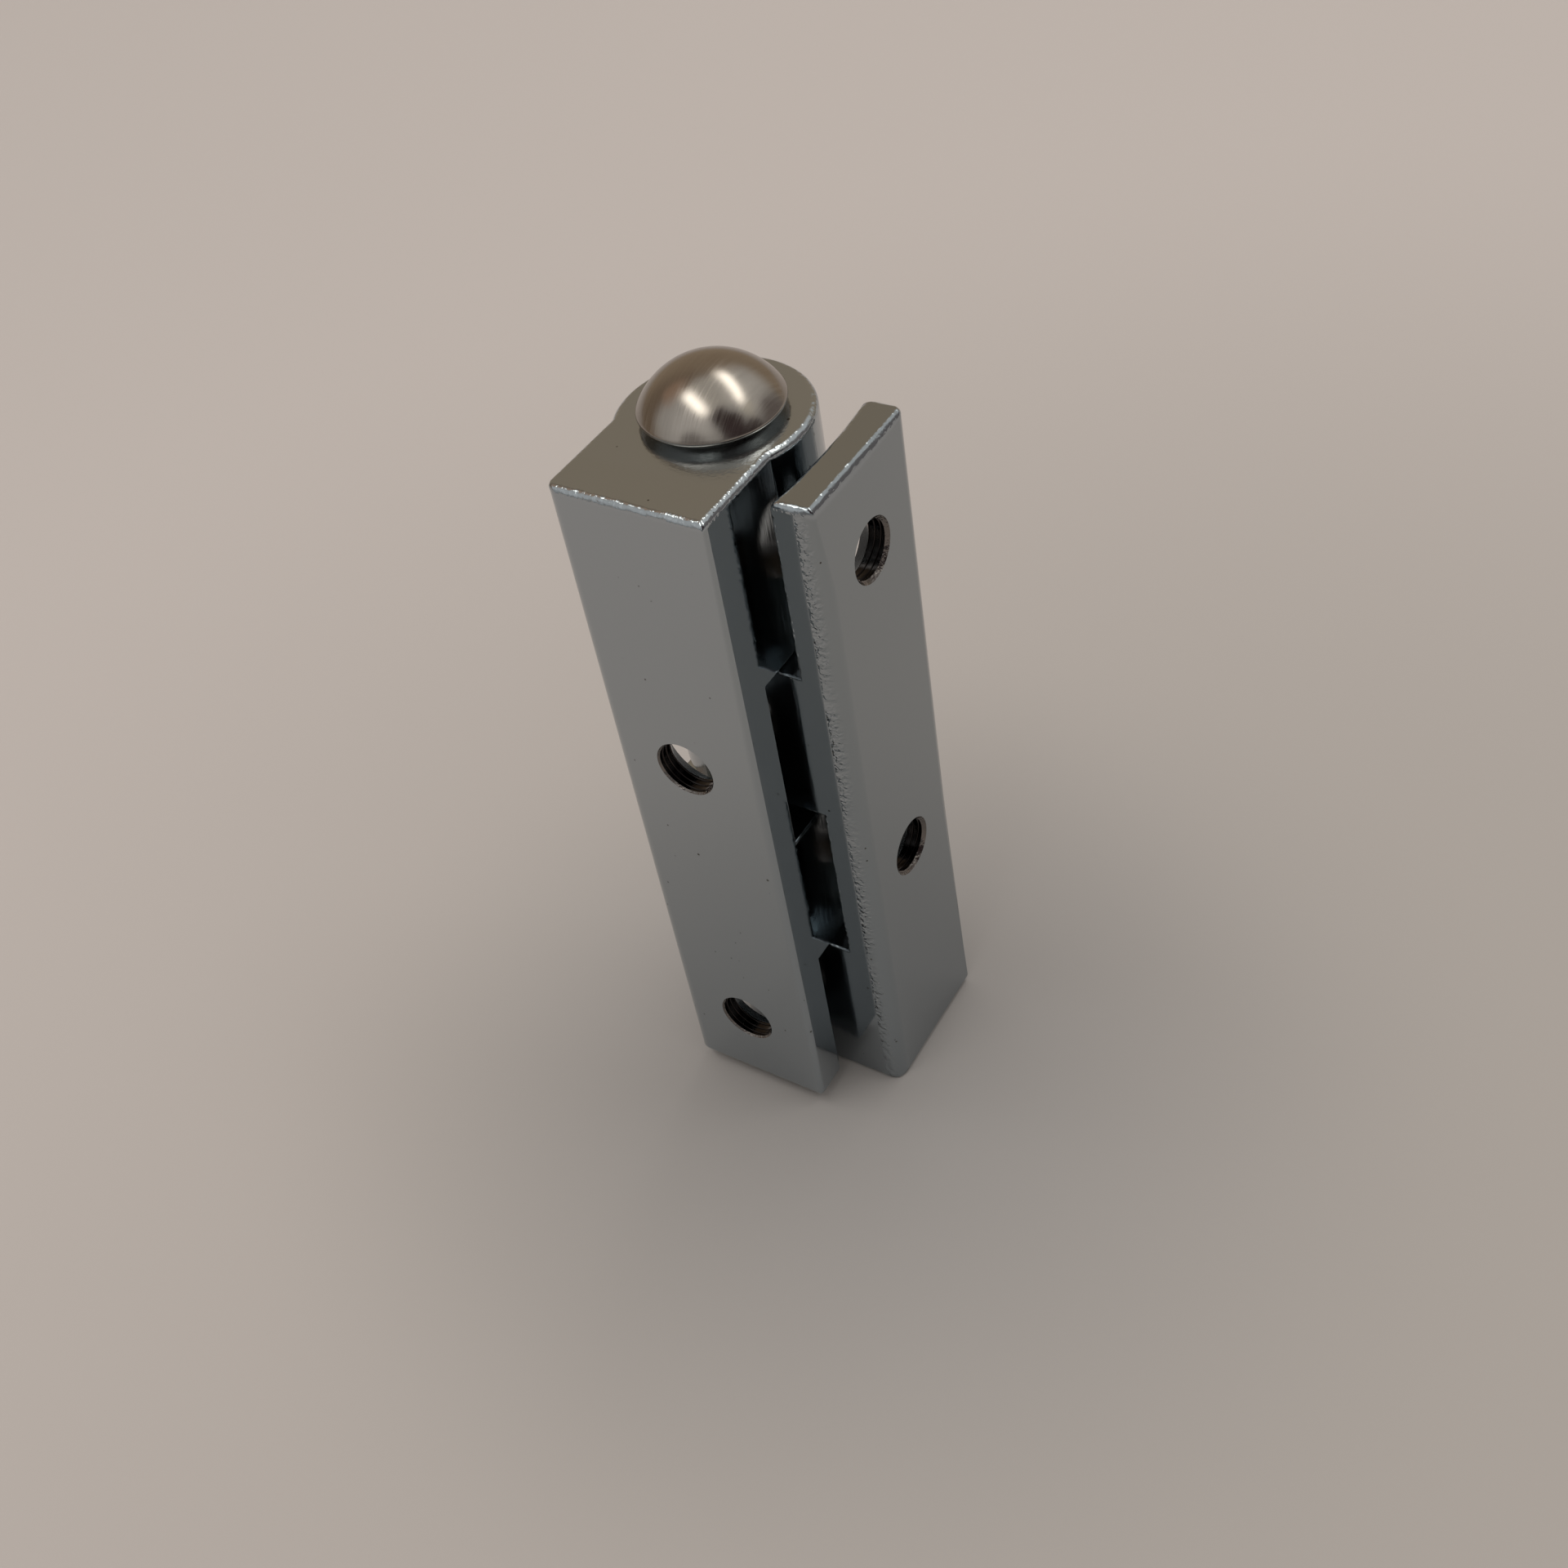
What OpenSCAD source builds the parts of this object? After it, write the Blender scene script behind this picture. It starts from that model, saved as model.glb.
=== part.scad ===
// Concealed cabinet hinge: two leaves from one casting, the second turned end for end, on a dome-headed pin.
// Millimetres. The origin is midway between the frame leaf's two screw holes, on its mounting face.
// -Y points out of that face, +X to the door leaf's side, +Z along the pin towards its head.

/* [Leaf] */
// Length of a leaf along the pin
leaf_l = 62; // [54:1:80]
// Width of a leaf's mounting face
leaf_w = 13; // [11:0.25:13.75]
// Thickness of the plate at its side edges
plate_t = 3; // [2.6:0.1:4]
// Depth of the shallow hollow in the plate's inner face
hollow = 0.4; // [0.2:0.05:0.6]
// Radius of the two long edges of the mounting face
edge_r = 0.5; // [0.3:0.1:1]
// How far the frame leaf stands above the door leaf
leaf_step = 1.2; // [0.6:0.1:2]

/* [Knuckles] */
// Diameter of a knuckle
knuckle_d = 14.5; // [14:0.25:16.5]
// Length of the knuckle at the end of a leaf
end_knuckle_l = 16.5; // [15:0.5:19]
// Gap between two knuckles that bear on each other
seam_gap = 0.1; // [0.05:0.05:0.3]
// Open gap between the two inner knuckles
assembly_gap = 2; // [1:0.5:4]
// Gap between a knuckle and the plate it swings past
swing_gap = 1.25; // [0.8:0.05:2]

/* [Screw holes] */
// Drilled diameter of a tapped screw hole
tap_d = 4.2; // [3.3:0.1:5]
// Depth of the 45 degree lead-in on the mounting face
lead_in = 0.4; // [0.2:0.05:0.8]
// Depth of the 45 degree relief on the plate's inner face
relief = 0.9; // [0.3:0.1:1.2]

/* [Pin] */
// Diameter of the pin's shank
pin_d = 6; // [5:0.5:7]
// Radial gap of the pin in the frame leaf, which grips it
grip_gap = 0.01; // [0.01:0.01:0.02]
// Radial gap of the pin in the door leaf, which turns on it
run_gap = 0.05; // [0.03:0.01:0.1]
// Largest diameter of the domed head
head_d = 10.75; // [9.5:0.25:12]
// Height of the head above the frame leaf's end
head_h = 4; // [3:0.1:5]
// Height of the head's rim above the frame leaf's end
rim_h = 0.7; // [0.4:0.05:1]
// How far the head narrows below its rim
rim_undercut = 0.8; // [0.4:0.05:1]
// Chamfer at the pin's lower tip
tip_chamfer = 0.6; // [0.3:0.1:1]
// Depth of the pin's tip inside the door leaf's end
tip_recess = 0.5; // [0.2:0.1:1]

/* [Hidden] */
$fn = 128;
// Angle between the two mounting faces as the hinge stands
open_angle = 90;
// Half a turn, for the leaf that is turned end for end
half_turn = 180;
// Tilt that lays a drill along Y
drill_tilt = -90;
// Length by which each cut runs past the face it opens
overrun = 1;
knuckle_r = knuckle_d / 2;
// Distance from a mounting face to the pin's axis
reach = knuckle_r + swing_gap + plate_t;
// Half the length of the knuckle stack on either side of the open gap
stack_half_l = (leaf_l + leaf_step - assembly_gap) / 2;
mid_knuckle_l = stack_half_l - end_knuckle_l - seam_gap;
// Slots for the other leaf's end and middle knuckle
end_slot_l = end_knuckle_l + seam_gap - leaf_step;
mid_slot_l = assembly_gap + mid_knuckle_l + seam_gap;
mid_slot_z = end_slot_l + mid_knuckle_l;
// Radius of the hollow across the plate's width
hollow_r = (pow(leaf_w / 2, 2) + pow(hollow, 2)) / (2 * hollow);
// Screw holes: a whole-millimetre pitch, centred between the plain end and the end knuckle
screw_mid = (leaf_l - end_knuckle_l) / 2;
screw_pitch = round(mid_slot_z + mid_slot_l / 2 - end_slot_l / 2);
tap_r = tap_d / 2;
// Ends of the stack along the pin
frame_end_z = leaf_l - screw_mid;
door_plain_z = leaf_l - leaf_step - screw_mid;
door_end_z = door_plain_z - leaf_l;
// Pin
pin_r = pin_d / 2;
head_r = head_d / 2;
cap_h = head_h - rim_h;
dome_r = (pow(head_r, 2) + pow(cap_h, 2)) / (2 * cap_h);
tip_z = door_end_z + tip_recess;

// Outline of a leaf across the pin: block with two rounded front edges, and the knuckle round
module leaf_section() {
  corner_x = leaf_w / 2 - edge_r;
  translate([-leaf_w / 2, edge_r]) square([leaf_w, reach - edge_r]);
  translate([-corner_x, 0]) square([2 * corner_x, reach]);
  translate([-corner_x, edge_r]) circle(r = edge_r);
  translate([corner_x, edge_r]) circle(r = edge_r);
  translate([0, reach]) circle(r = knuckle_r);
}

// Slot that leaves only the hollowed plate
module knuckle_slot(z, l) {
  translate([0, plate_t - hollow + hollow_r, z]) cylinder(r = hollow_r, h = l);
}

// Tapped hole with a lead-in in front and a relief behind
module screw_hole(z) {
  lead_h = lead_in + overrun;
  relief_y = plate_t - hollow - relief;
  relief_h = relief + overrun;
  translate([0, 0, z]) rotate([drill_tilt, 0, 0]) {
    translate([0, 0, -overrun]) cylinder(r = tap_r, h = plate_t + 2 * overrun);
    translate([0, 0, -overrun]) cylinder(r1 = tap_r + lead_h, r2 = tap_r, h = lead_h);
    translate([0, 0, relief_y]) cylinder(r1 = tap_r, r2 = tap_r + relief_h, h = relief_h);
  }
}

// One leaf: mounting face at y = 0, plain end at z = 0, pin axis at y = reach
module leaf(bore_r) {
  difference() {
    linear_extrude(height = leaf_l) leaf_section();
    knuckle_slot(-overrun, end_slot_l + overrun);
    knuckle_slot(mid_slot_z, mid_slot_l);
    translate([0, reach, -overrun]) cylinder(r = bore_r, h = leaf_l + 2 * overrun);
    screw_hole(screw_mid - screw_pitch / 2);
    screw_hole(screw_mid + screw_pitch / 2);
  }
}

// Leaf that is screwed to the cabinet frame and grips the pin
module frame_leaf() {
  color("Silver") translate([0, 0, -screw_mid]) leaf(pin_r + grip_gap);
}

// Leaf that is screwed to the door and turns on the pin
module door_leaf() {
  color("Gainsboro")
    translate([0, reach, door_plain_z])
    rotate([0, 0, open_angle])
    rotate([0, half_turn, 0])
    translate([0, -reach, 0])
    leaf(pin_r + run_gap);
}

// Domed head on an undercut rim
module pin_head() {
  cylinder(r1 = head_r - rim_undercut, r2 = head_r, h = rim_h);
  intersection() {
    translate([0, 0, head_h - dome_r]) sphere(r = dome_r);
    translate([0, 0, rim_h]) cylinder(r = head_d, h = head_h);
  }
}

// Turned profile of the shank: chamfered tip below, root inside the head above
module pin_shank() {
  root_z = frame_end_z + rim_h / 2;
  rotate_extrude() polygon([
    [0, tip_z],
    [pin_r - tip_chamfer, tip_z],
    [pin_r, tip_z + tip_chamfer],
    [pin_r, root_z],
    [0, root_z]
  ]);
}

// Pin with its head on the frame leaf's end
module hinge_pin() {
  color("LightSteelBlue") translate([0, reach, 0]) {
    pin_shank();
    translate([0, 0, frame_end_z]) pin_head();
  }
}

frame_leaf();
door_leaf();
hinge_pin();
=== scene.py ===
"""Concealed hinge dressed for viewing: two plated leaves that swing on a dome-headed pin."""

import logging
import math
from dataclasses import dataclass, replace
from enum import Enum
from typing import Any, Dict, List, Optional, Sequence, Tuple, Union

import bmesh
import bpy
from mathutils import Matrix, Vector


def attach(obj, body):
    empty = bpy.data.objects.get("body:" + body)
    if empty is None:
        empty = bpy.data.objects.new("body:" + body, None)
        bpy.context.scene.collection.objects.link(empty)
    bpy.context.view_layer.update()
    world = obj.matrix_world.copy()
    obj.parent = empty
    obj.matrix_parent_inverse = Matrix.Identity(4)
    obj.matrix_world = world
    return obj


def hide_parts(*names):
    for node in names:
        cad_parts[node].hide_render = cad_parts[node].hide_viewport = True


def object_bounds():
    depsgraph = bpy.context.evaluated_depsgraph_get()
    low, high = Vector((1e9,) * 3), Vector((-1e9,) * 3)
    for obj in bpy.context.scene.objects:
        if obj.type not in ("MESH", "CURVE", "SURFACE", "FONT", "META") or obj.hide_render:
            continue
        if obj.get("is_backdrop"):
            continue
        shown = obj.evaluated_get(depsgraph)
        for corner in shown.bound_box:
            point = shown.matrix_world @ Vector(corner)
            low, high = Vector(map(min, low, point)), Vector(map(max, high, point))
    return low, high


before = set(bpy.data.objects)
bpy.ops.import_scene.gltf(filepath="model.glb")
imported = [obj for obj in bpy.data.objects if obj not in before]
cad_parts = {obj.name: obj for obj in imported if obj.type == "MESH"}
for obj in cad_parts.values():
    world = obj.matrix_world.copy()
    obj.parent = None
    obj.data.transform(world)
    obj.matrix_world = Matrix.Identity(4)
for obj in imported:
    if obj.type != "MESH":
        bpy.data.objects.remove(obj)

LOG = logging.getLogger("hinge")
MM = 0.001
# Places closer than this, in millimetres, count as one place
TOUCH = 0.01
# Points closer than this, in millimetres, are merged
MERGE = 0.0005
# Faces that meet at less than this angle make one flat
FLAT_ANGLE = math.radians(0.05)
# A face whose normal agrees with a direction this closely faces that way
FACING = 0.9999
# Range that most values of a noise texture lie in
NOISE_LOW, NOISE_HIGH = 0.3, 0.7
# Sockets of a Mix node: its share, its two values and its two colours
SHARE, VALUE_A, VALUE_B, COLOUR_A, COLOUR_B = 0, 2, 3, 6, 7
MIXED_VALUE, MIXED_COLOUR = 0, 2
Point = Tuple[float, float, float]
Span = Tuple[float, float]
Colour = Tuple[float, float, float, float]
Material = bpy.types.Material
Socket = bpy.types.NodeSocket
Solid = bpy.types.Object
Tree = bpy.types.NodeTree
Paint = Union[Colour, Socket]


class LeafSurface(Enum):
    """Material slots of a leaf, in the order of their indices."""

    FACE = 0
    END_EDGE = 1
    LONG_EDGE = 2
    HOLE = 3
    LEAD_IN = 4


class Joining(Enum):
    """Ways to combine two solids, by the modifier's own words."""

    ADD = "UNION"
    CUT = "DIFFERENCE"


def linear(hex_code: str) -> Colour:
    """Turns an sRGB hex colour into linear RGBA, by the standard's own curve.

    Args:
        hex_code: Six hex digits, with or without a leading hash.

    Returns:
        Linear red, green, blue and an alpha of 1.
    """
    digits = hex_code.lstrip("#")
    channels = [int(digits[i:i + 2], 16) / 255 for i in (0, 2, 4)]
    red, green, blue = (
        c / 12.92 if c <= 0.04045 else ((c + 0.055) / 1.055) ** 2.4 for c in channels
    )
    return red, green, blue, 1.0


def add_node(
    tree: Tree, kind: str, inputs: Optional[Dict[Any, Any]] = None, **settings: Any
) -> bpy.types.NodeOutputs:
    """Adds a shader node, sets it and links it.

    Args:
        tree: Node tree that gets the node.
        kind: Node's type name, without the ShaderNode in front.
        inputs: Socket name or index to a constant, or to the output socket that feeds it.
        settings: Node attributes.

    Returns:
        The new node's output sockets.
    """
    made = tree.nodes.new(f"ShaderNode{kind}")
    for key, value in settings.items():
        setattr(made, key, value)
    for key, value in (inputs or {}).items():
        if isinstance(value, Socket):
            tree.links.new(value, made.inputs[key])
        else:
            made.inputs[key].default_value = value
    return made.outputs


def fade(
    tree: Tree, value: Socket, start: float, end: float, before: Paint, after: Paint
) -> Socket:
    """Changes softly from one colour to another as a value grows.

    Args:
        tree: Node tree that gets the nodes.
        value: What the change follows.
        start: Value at which it begins.
        end: Value at which it is complete.
        before: Colour before the change.
        after: Colour after it.

    Returns:
        The resulting colour.
    """
    share = add_node(
        tree, "MapRange", {"Value": value, "From Min": start, "From Max": end},
        interpolation_type="SMOOTHSTEP",
    )["Result"]
    return add_node(
        tree, "Mix", {SHARE: share, COLOUR_A: before, COLOUR_B: after}, data_type="RGBA"
    )[MIXED_COLOUR]


def new_material(name: str) -> Tuple[Material, Tree, Socket]:
    """Makes a node material with nothing but its place to start from.

    Args:
        name: Name of the material.

    Returns:
        The material, its node tree and its Object coordinates.
    """
    made = bpy.data.materials.new(name)
    made.use_nodes = True
    made.node_tree.nodes.clear()
    return made, made.node_tree, add_node(made.node_tree, "TexCoord")["Object"]


def only(obj: Solid) -> None:
    """Selects one object, makes it active and leaves the rest unselected."""
    bpy.ops.object.select_all(action="DESELECT")
    obj.select_set(True)
    bpy.context.view_layer.objects.active = obj


def apply_place(obj: Solid) -> None:
    """Moves an object's place, turn and scale into its mesh."""
    only(obj)
    bpy.ops.object.transform_apply(location=True, rotation=True, scale=True)


def combine(obj: Solid, tool: Solid, joining: Joining) -> None:
    """Adds a tool to an object or cuts it out of it, and removes the tool.

    Args:
        obj: Object that stays.
        tool: Closed solid that is used up.
        joining: Whether the tool is added or cut out.
    """
    only(obj)
    boolean = obj.modifiers.new("combine", "BOOLEAN")
    boolean.operation = joining.value
    boolean.solver = "MANIFOLD"
    boolean.object = tool
    bpy.ops.object.modifier_apply(modifier=boolean.name)
    bpy.data.objects.remove(tool)


def turned(name: str, profile: Sequence[Span], sides: int, closed_top: bool = False) -> Solid:
    """Turns a profile about Z, ring by ring from its lowest point.

    Args:
        name: Name of the new object.
        profile: Radius and height of each ring.
        sides: Facets round the axis.
        closed_top: Draws the last ring together into a pole.

    Returns:
        A closed solid.
    """
    bpy.ops.object.select_all(action="DESELECT")
    radius, height = profile[0]
    bpy.ops.mesh.primitive_circle_add(
        vertices=sides, radius=radius, fill_type="NGON", location=(0, 0, height)
    )
    obj = bpy.context.object
    obj.name = name
    apply_place(obj)
    bpy.ops.object.mode_set(mode="EDIT")
    bpy.ops.mesh.select_all(action="SELECT")
    for next_radius, next_height in profile[1:]:
        rise = (0, 0, next_height - height)
        bpy.ops.mesh.extrude_region_move(TRANSFORM_OT_translate={"value": rise})
        share = next_radius / radius
        bpy.ops.transform.resize(value=(share, share, 1), center_override=(0, 0, next_height))
        radius, height = next_radius, next_height
    if closed_top:
        bpy.ops.mesh.merge(type="CENTER")
    bpy.ops.mesh.select_all(action="SELECT")
    bpy.ops.mesh.normals_make_consistent(inside=False)
    bpy.ops.object.mode_set(mode="OBJECT")
    return obj


@dataclass(frozen=True)
class BrightPlate:
    """Bright plating on a zinc die casting, polished outside and then plated in a barrel.

    The polished skin is a near mirror with a cool grey tint, a faint orange peel and small dark
    pits. Deeper in, the casting was left as it came from the die: duller, with fine draw marks.
    Along the edges the cast skin shows through as pebbles, which glint one by one.
    """

    name: str = "Bright plating on die-cast zinc"
    colour: str = "#a5aaad"
    roughness: float = 0.07
    haze_mm: float = 6.0
    haze_spread: Span = (0.7, 1.4)
    peel_mm: float = 0.9
    peel_height_mm: float = 0.0006
    pit_colour: str = "#55524f"
    pit_cell_mm: float = 0.8
    # Radius of the largest pit
    pit_r_mm: float = 0.13
    pit_border_mm: float = 0.016
    # Share of the cells that hold a pit
    pit_share: float = 0.2
    inward: Point = (0.0, 1.0, 0.0)
    inward_zero_mm: float = 0.0
    polished_mm: float = 3.3
    polish_fade_mm: float = 0.8
    inner_roughness: float = 0.14
    draw_mm: float = 0.3
    draw_length_mm: float = 5.0
    draw_height_mm: float = 0.012
    pebble_mm: float = 0.3
    pebble_height_mm: float = 0.0
    # Depths between which the pebbles come up: these lie outside the leaf, so it has them all over
    pebble_depth_mm: Span = (-2.0, -1.0)
    cover_mm: float = 5.0
    cover_range: Span = (0.3, 0.55)
    cover_least: float = 0.25
    swell_mm: float = 1.1
    swell_height_mm: float = 0.0

    def pits(self, tree: Tree, place: Socket) -> Socket:
        """Scatters small pits.

        Args:
            tree: Node tree of the material.
            place: Object coordinates.

        Returns:
            1 inside a pit and 0 outside.
        """
        cells = add_node(
            tree, "TexVoronoi", {"Vector": place, "Scale": 1 / (self.pit_cell_mm * MM)}
        )
        lone = add_node(tree, "SeparateColor", {"Color": cells["Color"]})["Red"]
        size = add_node(
            tree, "MapRange",
            {"Value": lone, "From Min": 1 - self.pit_share,
             "To Max": self.pit_r_mm / self.pit_cell_mm},
        )["Result"]
        inside = add_node(tree, "Math", {0: size, 1: cells["Distance"]}, operation="SUBTRACT")[0]
        return add_node(
            tree, "MapRange",
            {"Value": inside, "From Max": self.pit_border_mm / self.pit_cell_mm},
            interpolation_type="SMOOTHSTEP",
        )["Result"]

    def pebbles(self, tree: Tree, place: Socket, depth: Socket, normal: Socket) -> Socket:
        """Lays the cast skin's pebbles and slow swells over the surface.

        Args:
            tree: Node tree of the material.
            place: Object coordinates.
            depth: Depth below the mounting face, from the origin.
            normal: Normal of the surface underneath.

        Returns:
            The pebbled normal.
        """
        swell, patches = (
            add_node(
                tree, "TexNoise", {"Vector": place, "Scale": 1 / (size * MM), "Detail": 1.0}
            )["Fac"]
            for size in (self.swell_mm, self.cover_mm)
        )
        swollen = add_node(
            tree, "Bump",
            {"Height": swell, "Distance": self.swell_height_mm * MM, "Normal": normal},
        )["Normal"]
        grain = add_node(
            tree, "TexNoise",
            {"Vector": place, "Scale": 1 / (self.pebble_mm * MM), "Detail": 1.5, "Distortion": 0.3},
        )["Fac"]
        begin, full = ((d - self.inward_zero_mm) * MM for d in self.pebble_depth_mm)
        below_face = add_node(
            tree, "MapRange", {"Value": depth, "From Min": begin, "From Max": full},
            interpolation_type="SMOOTHSTEP",
        )["Result"]
        rubbed = add_node(tree, "Math", {0: grain, 1: below_face}, operation="MULTIPLY")[0]
        cover = add_node(
            tree, "MapRange",
            {"Value": patches, "From Min": self.cover_range[0], "From Max": self.cover_range[1],
             "To Min": self.cover_least},
            interpolation_type="SMOOTHSTEP",
        )["Result"]
        patchy = add_node(tree, "Math", {0: rubbed, 1: cover}, operation="MULTIPLY")[0]
        return add_node(
            tree, "Bump",
            {"Height": patchy, "Distance": self.pebble_height_mm * MM, "Normal": swollen},
        )["Normal"]

    def skin_roughness(self, tree: Tree, place: Socket, as_cast: Socket) -> Socket:
        """Gives the polished skin a slight haze and the inside its dull cast skin.

        Args:
            tree: Node tree of the material.
            place: Object coordinates.
            as_cast: 0 on the polished skin and 1 on the inside.

        Returns:
            The roughness.
        """
        haze = add_node(
            tree, "TexNoise",
            {"Vector": place, "Scale": 1 / (self.haze_mm * MM), "Detail": 3.0, "Roughness": 0.6},
        )["Fac"]
        clear, hazy = (self.roughness * share for share in self.haze_spread)
        polished = add_node(
            tree, "MapRange",
            {"Value": haze, "From Min": NOISE_LOW, "From Max": NOISE_HIGH, "To Min": clear,
             "To Max": hazy},
            interpolation_type="SMOOTHSTEP",
        )["Result"]
        return add_node(
            tree, "Mix", {SHARE: as_cast, VALUE_A: polished, VALUE_B: self.inner_roughness}
        )[MIXED_VALUE]

    def skin_normal(self, tree: Tree, place: Socket, as_cast: Socket) -> Socket:
        """Gives the polished skin its orange peel and the inside its draw marks.

        Args:
            tree: Node tree of the material.
            place: Object coordinates.
            as_cast: 0 on the polished skin and 1 on the inside.

        Returns:
            The normal.
        """
        peel = add_node(
            tree, "TexNoise",
            {"Vector": place, "Scale": 1 / (self.peel_mm * MM), "Detail": 1.0, "Roughness": 0.4},
        )["Fac"]
        peeled = add_node(
            tree, "Bump", {"Height": peel, "Distance": self.peel_height_mm * MM}
        )["Normal"]
        narrow, long = 1 / (self.draw_mm * MM), 1 / (self.draw_length_mm * MM)
        along = add_node(tree, "Mapping", {"Vector": place, "Scale": (narrow, narrow, long)})
        marks = add_node(
            tree, "TexNoise",
            {"Vector": along["Vector"], "Scale": 1.0, "Detail": 2.0, "Roughness": 0.6},
        )["Fac"]
        inner = add_node(tree, "Math", {0: marks, 1: as_cast}, operation="MULTIPLY")[0]
        return add_node(
            tree, "Bump",
            {"Height": inner, "Distance": self.draw_height_mm * MM, "Normal": peeled},
        )["Normal"]

    def material(self) -> Material:
        """Builds the shader."""
        made, tree, place = new_material(self.name)
        tint = add_node(
            tree, "Mix",
            {SHARE: self.pits(tree, place), COLOUR_A: linear(self.colour),
             COLOUR_B: linear(self.pit_colour)},
            data_type="RGBA",
        )[MIXED_COLOUR]
        depth = add_node(
            tree, "VectorMath", {0: place, 1: self.inward}, operation="DOT_PRODUCT"
        )["Value"]
        start = (self.polished_mm - self.inward_zero_mm) * MM
        as_cast = add_node(
            tree, "MapRange",
            {"Value": depth, "From Min": start, "From Max": start + self.polish_fade_mm * MM},
            interpolation_type="SMOOTHSTEP",
        )["Result"]
        normal = self.skin_normal(tree, place, as_cast)
        if self.pebble_height_mm:
            normal = self.pebbles(tree, place, depth, normal)
        shader = add_node(
            tree, "BsdfPrincipled",
            {"Base Color": tint, "Metallic": 1.0,
             "Roughness": self.skin_roughness(tree, place, as_cast), "Normal": normal},
        )
        add_node(tree, "OutputMaterial", {"Surface": shader["BSDF"]})
        return made


@dataclass(frozen=True)
class BrushedStainless:
    """Austenitic stainless steel, turned and then brushed one way.

    Brushing gives a soft mirror: reflections keep their place but smear across the fine lines.
    """

    name: str = "Brushed stainless steel"
    colour: str = "#a7a29b"
    line_colour: str = "#938d86"
    roughness: float = 0.2
    roughness_spread: Span = (0.8, 1.25)
    # A brush's own lines are finer than the render shows, so these are drawn coarser
    line_mm: float = 0.08
    line_length_mm: float = 3.0
    line_height_mm: float = 0.0012
    turn_deg: float = 23.0

    def material(self) -> Material:
        """Builds the shader."""
        made, tree, place = new_material(self.name)
        narrow, long = 1 / (self.line_mm * MM), 1 / (self.line_length_mm * MM)
        along = add_node(
            tree, "Mapping",
            {"Vector": place, "Rotation": (0, 0, math.radians(-self.turn_deg)),
             "Scale": (narrow, long, long)},
        )["Vector"]
        lines = add_node(
            tree, "TexNoise", {"Vector": along, "Scale": 1.0, "Detail": 3.0, "Roughness": 0.65}
        )["Fac"]
        tint = add_node(
            tree, "Mix",
            {SHARE: lines, COLOUR_A: linear(self.line_colour), COLOUR_B: linear(self.colour)},
            data_type="RGBA",
        )[MIXED_COLOUR]
        smooth, rough = (self.roughness * share for share in self.roughness_spread)
        brushed = add_node(
            tree, "MapRange",
            {"Value": lines, "From Min": NOISE_LOW, "From Max": NOISE_HIGH, "To Min": smooth,
             "To Max": rough},
            interpolation_type="SMOOTHSTEP",
        )["Result"]
        normal = add_node(
            tree, "Bump", {"Height": lines, "Distance": self.line_height_mm * MM}
        )["Normal"]
        shader = add_node(
            tree, "BsdfPrincipled",
            {"Base Color": tint, "Metallic": 1.0, "Roughness": brushed, "Normal": normal},
        )
        add_node(tree, "OutputMaterial", {"Surface": shader["BSDF"]})
        return made


@dataclass(frozen=True)
class WovePaper:
    """Uncoated pale paper: a matt sheet with a faint cloudy tooth.

    Painted shade makes it dimmer to the right of the hinge, and a painted shadow makes it dimmest
    round the hinge's foot. Each span holds the distances at which a painted shade begins to fade
    and is gone.
    """

    name: str = "Uncoated wove paper"
    colour: str = "#bbb1aa"
    # Painted shade, dimmer to the right of the hinge: its colour, centre and span
    painted_shade_colour: str = "#a8a099"
    painted_shade_centre: Point = (50.0, 15.0, 0.0)
    painted_shade_mm: Span = (10.0, 190.0)
    # Painted shadow round the hinge's foot: its colour, centre and span
    painted_foot_shadow_colour: str = "#97928e"
    painted_foot_shadow_centre: Point = (10.0, 5.0, 0.0)
    painted_foot_shadow_mm: Span = (0.0, 60.0)
    roughness: float = 0.9
    # Paper's own tooth is finer than the render shows, so it is drawn coarser
    tooth_mm: float = 1.5
    tooth_height_mm: float = 0.02

    def material(self) -> Material:
        """Builds the shader."""
        made, tree, place = new_material(self.name)
        tone = linear(self.colour)
        # Darkens the paper's colour with the painted shade and the painted shadow
        painted_shades = (
            (self.painted_shade_centre, self.painted_shade_mm, self.painted_shade_colour),
            (self.painted_foot_shadow_centre, self.painted_foot_shadow_mm, self.painted_foot_shadow_colour),
        )
        for centre, (full, gone), near in painted_shades:
            away = add_node(
                tree, "VectorMath", {0: place, 1: tuple(c * MM for c in centre)},
                operation="DISTANCE",
            )["Value"]
            tone = fade(tree, away, full * MM, gone * MM, linear(near), tone)
        tooth = add_node(
            tree, "TexNoise",
            {"Vector": place, "Scale": 1 / (self.tooth_mm * MM), "Detail": 4.0, "Roughness": 0.6},
        )["Fac"]
        normal = add_node(
            tree, "Bump",
            {"Height": tooth, "Strength": 0.2, "Distance": self.tooth_height_mm * MM},
        )["Normal"]
        shader = add_node(
            tree, "BsdfPrincipled",
            {"Base Color": tone, "Roughness": self.roughness, "Specular IOR Level": 0.1,
             "Normal": normal},
        )
        add_node(tree, "OutputMaterial", {"Surface": shader["BSDF"]})
        return made


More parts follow.
